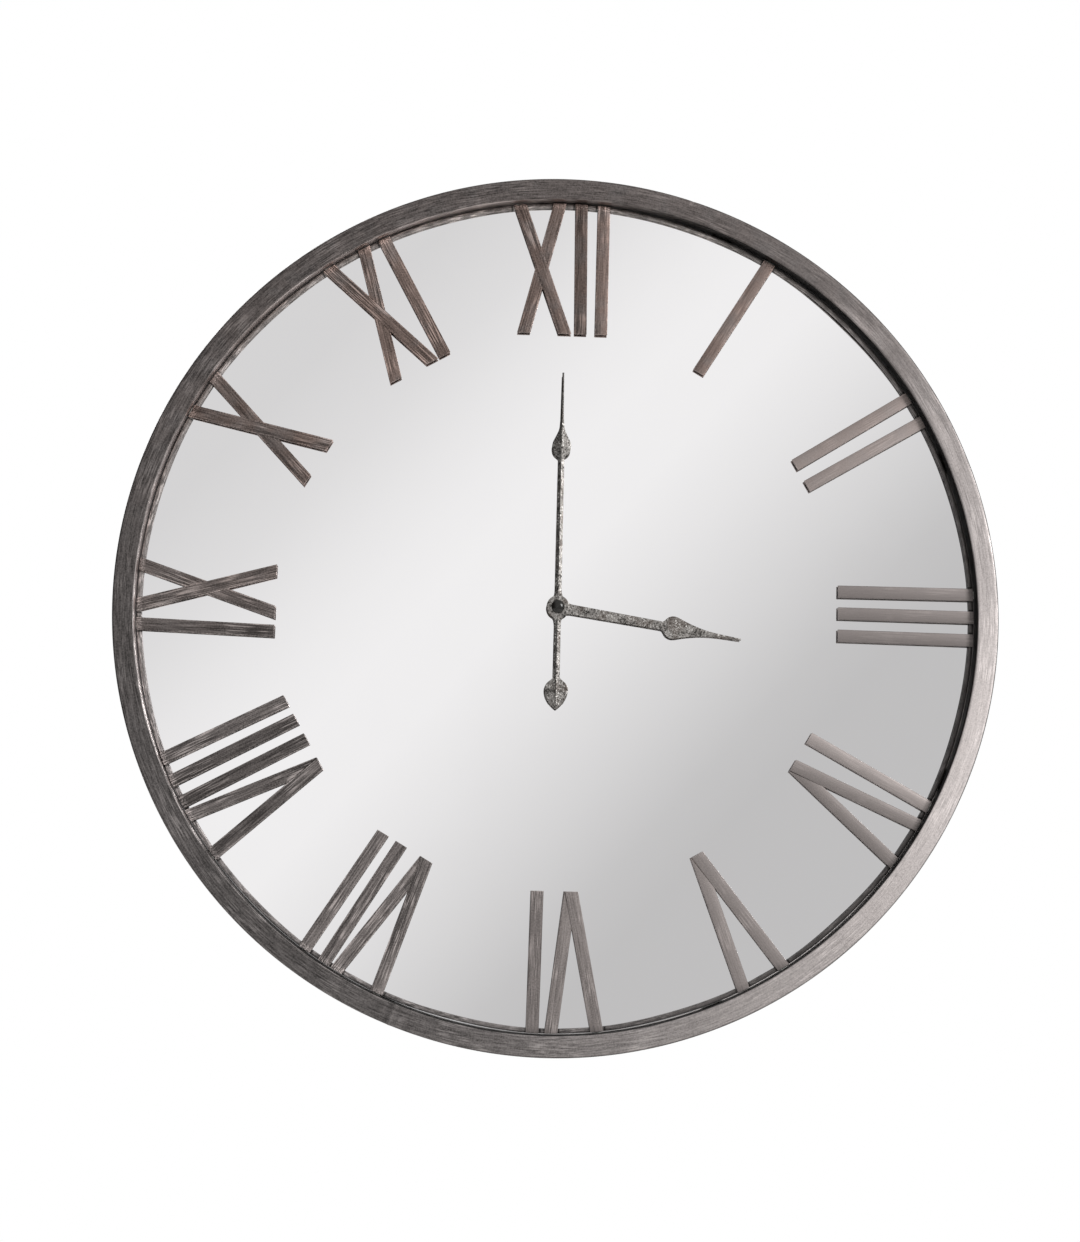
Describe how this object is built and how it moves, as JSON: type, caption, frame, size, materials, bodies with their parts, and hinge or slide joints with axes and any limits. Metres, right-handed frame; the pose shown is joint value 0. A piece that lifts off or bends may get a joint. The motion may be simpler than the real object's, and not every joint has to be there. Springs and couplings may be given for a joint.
{
  "type": "wall clock",
  "caption": "Large round wall clock: steel rim, welded Roman numerals on a thin ring in front of a mirror dial, two hands and a quartz movement.",
  "frame": {"origin": "on the hands' axis, halfway between the front face of the rim and the back of the wall pads", "axes": "-Y out of the dial towards the viewer, +Z to twelve o'clock, +X to three o'clock as seen from the front"},
  "size_m": [0.7999, 0.042, 0.8],
  "materials": {
    "rim_steel": "rolled steel, burnished dark",
    "ring_steel": "bare steel flat bar",
    "numeral_steel": "brushed steel with a brown tint",
    "hand_pewter": "mottled dark pewter",
    "cap_black": "gloss black",
    "mirror_silver": "silvered float glass",
    "hardboard": "brown hardboard",
    "felt": "felt",
    "zinc_steel": "zinc plated",
    "rubber_pad": "matte",
    "case_plastic": "fine texture",
    "wheel_plastic": "natural acetal",
    "brass": "turned",
    "magnet": "sintered",
    "soft_iron": "bare",
    "copper_wire": "enamelled copper",
    "circuit_laminate": "solder mask",
    "resin": "cast",
    "can_steel": "bright",
    "cell_wrap": "plain printed wrap",
    "spring_steel": "nickel plated"
  },
  "bodies": {
    "clock": {"rim_tube": "rim_steel", "numeral_ring": "ring_steel", "ring_tabs": "ring_steel", "numeral_01": "numeral_steel", "numeral_02": "numeral_steel", "numeral_03": "numeral_steel", "numeral_04": "numeral_steel", "numeral_05": "numeral_steel", "numeral_06": "numeral_steel", "numeral_07": "numeral_steel", "numeral_08": "numeral_steel", "numeral_09": "numeral_steel", "numeral_10": "numeral_steel", "numeral_11": "numeral_steel", "numeral_12": "numeral_steel", "mirror_glass": "mirror_silver", "glazing_pads": "felt", "backing_board": "hardboard", "backing_clips": "zinc_steel", "clip_screws": "zinc_steel", "hanger_plate": "zinc_steel", "hanger_rivets": "zinc_steel", "wall_bumpers": "rubber_pad", "movement_case": "case_plastic", "movement_lid": "case_plastic", "centre_post": "brass", "gasket": "rubber_pad", "dial_washer": "brass", "dial_nut": "brass", "middle_plate": "wheel_plastic", "train_bridge": "wheel_plastic", "stator": "soft_iron", "coil_core": "soft_iron", "coil": "copper_wire", "circuit_board": "circuit_laminate", "quartz_crystal": "can_steel", "chip_blob": "resin", "battery_contact_plus": "spring_steel", "battery_contact_minus": "spring_steel"},
    "minute": {"minute_hand": "hand_pewter", "cap_nut": "cap_black", "minute_arbor": "brass", "clutch_washer": "spring_steel"},
    "hour": {"hour_hand": "hand_pewter", "hour_wheel": "wheel_plastic"},
    "minute_work": {"minute_work_wheel": "wheel_plastic"},
    "knob": {"setting_knob": "case_plastic"},
    "rotor": {"rotor_pinion": "wheel_plastic", "rotor_magnet": "magnet"},
    "intermediate": {"intermediate_wheel": "wheel_plastic"},
    "seconds": {"seconds_wheel": "wheel_plastic"},
    "third": {"third_wheel": "wheel_plastic"},
    "centre": {"centre_wheel": "wheel_plastic"},
    "battery": {"battery_cell": "cell_wrap"}
  },
  "joints": [
    {"name": "minute_turn", "type": "hinge", "parent": "clock", "child": "minute", "pos_m": [0, -0.0145, 0], "axis": [0, 1, 0], "continuous": true},
    {"name": "hour_turn", "type": "hinge", "parent": "clock", "child": "hour", "pos_m": [0, -0.0121, 0], "axis": [0, 1, 0], "continuous": true},
    {"name": "minute_work_turn", "type": "hinge", "parent": "clock", "child": "minute_work", "pos_m": [0.00956, 0.004, -0.00084], "axis": [0, 1, 0], "continuous": true},
    {"name": "knob_turn", "type": "hinge", "parent": "clock", "child": "knob", "pos_m": [0.01916, 0.017, -0.00084], "axis": [0, 1, 0], "continuous": true},
    {"name": "rotor_turn", "type": "hinge", "parent": "clock", "child": "rotor", "pos_m": [-0.01207, 0.009, 0.01028], "axis": [0, 1, 0], "continuous": true},
    {"name": "intermediate_turn", "type": "hinge", "parent": "clock", "child": "intermediate", "pos_m": [-0.0054, 0.011, 0.00643], "axis": [0, 1, 0], "continuous": true},
    {"name": "seconds_turn", "type": "hinge", "parent": "clock", "child": "seconds", "pos_m": [0, 0.01, 0], "axis": [0, 1, 0], "continuous": true},
    {"name": "third_turn", "type": "hinge", "parent": "clock", "child": "third", "pos_m": [0.00656, 0.008, 0.00781], "axis": [0, 1, 0], "continuous": true},
    {"name": "centre_turn", "type": "hinge", "parent": "clock", "child": "centre", "pos_m": [0, 0.006, 0], "axis": [0, 1, 0], "continuous": true},
    {"name": "battery_slide", "type": "slide", "parent": "clock", "child": "battery", "axis": [0, 1, 0], "range_m": [0, 0.03]}
  ],
  "couplings": [
    {"joint": "hour_turn", "follows": "minute_turn", "ratio": 0.083333},
    {"joint": "minute_work_turn", "follows": "minute_turn", "ratio": -0.33333},
    {"joint": "knob_turn", "follows": "minute_turn", "ratio": 1},
    {"joint": "intermediate_turn", "follows": "rotor_turn", "ratio": -0.16667},
    {"joint": "seconds_turn", "follows": "rotor_turn", "ratio": 0.033333},
    {"joint": "third_turn", "follows": "rotor_turn", "ratio": -0.0041667},
    {"joint": "centre_turn", "follows": "rotor_turn", "ratio": 0.00055556}
  ]
}
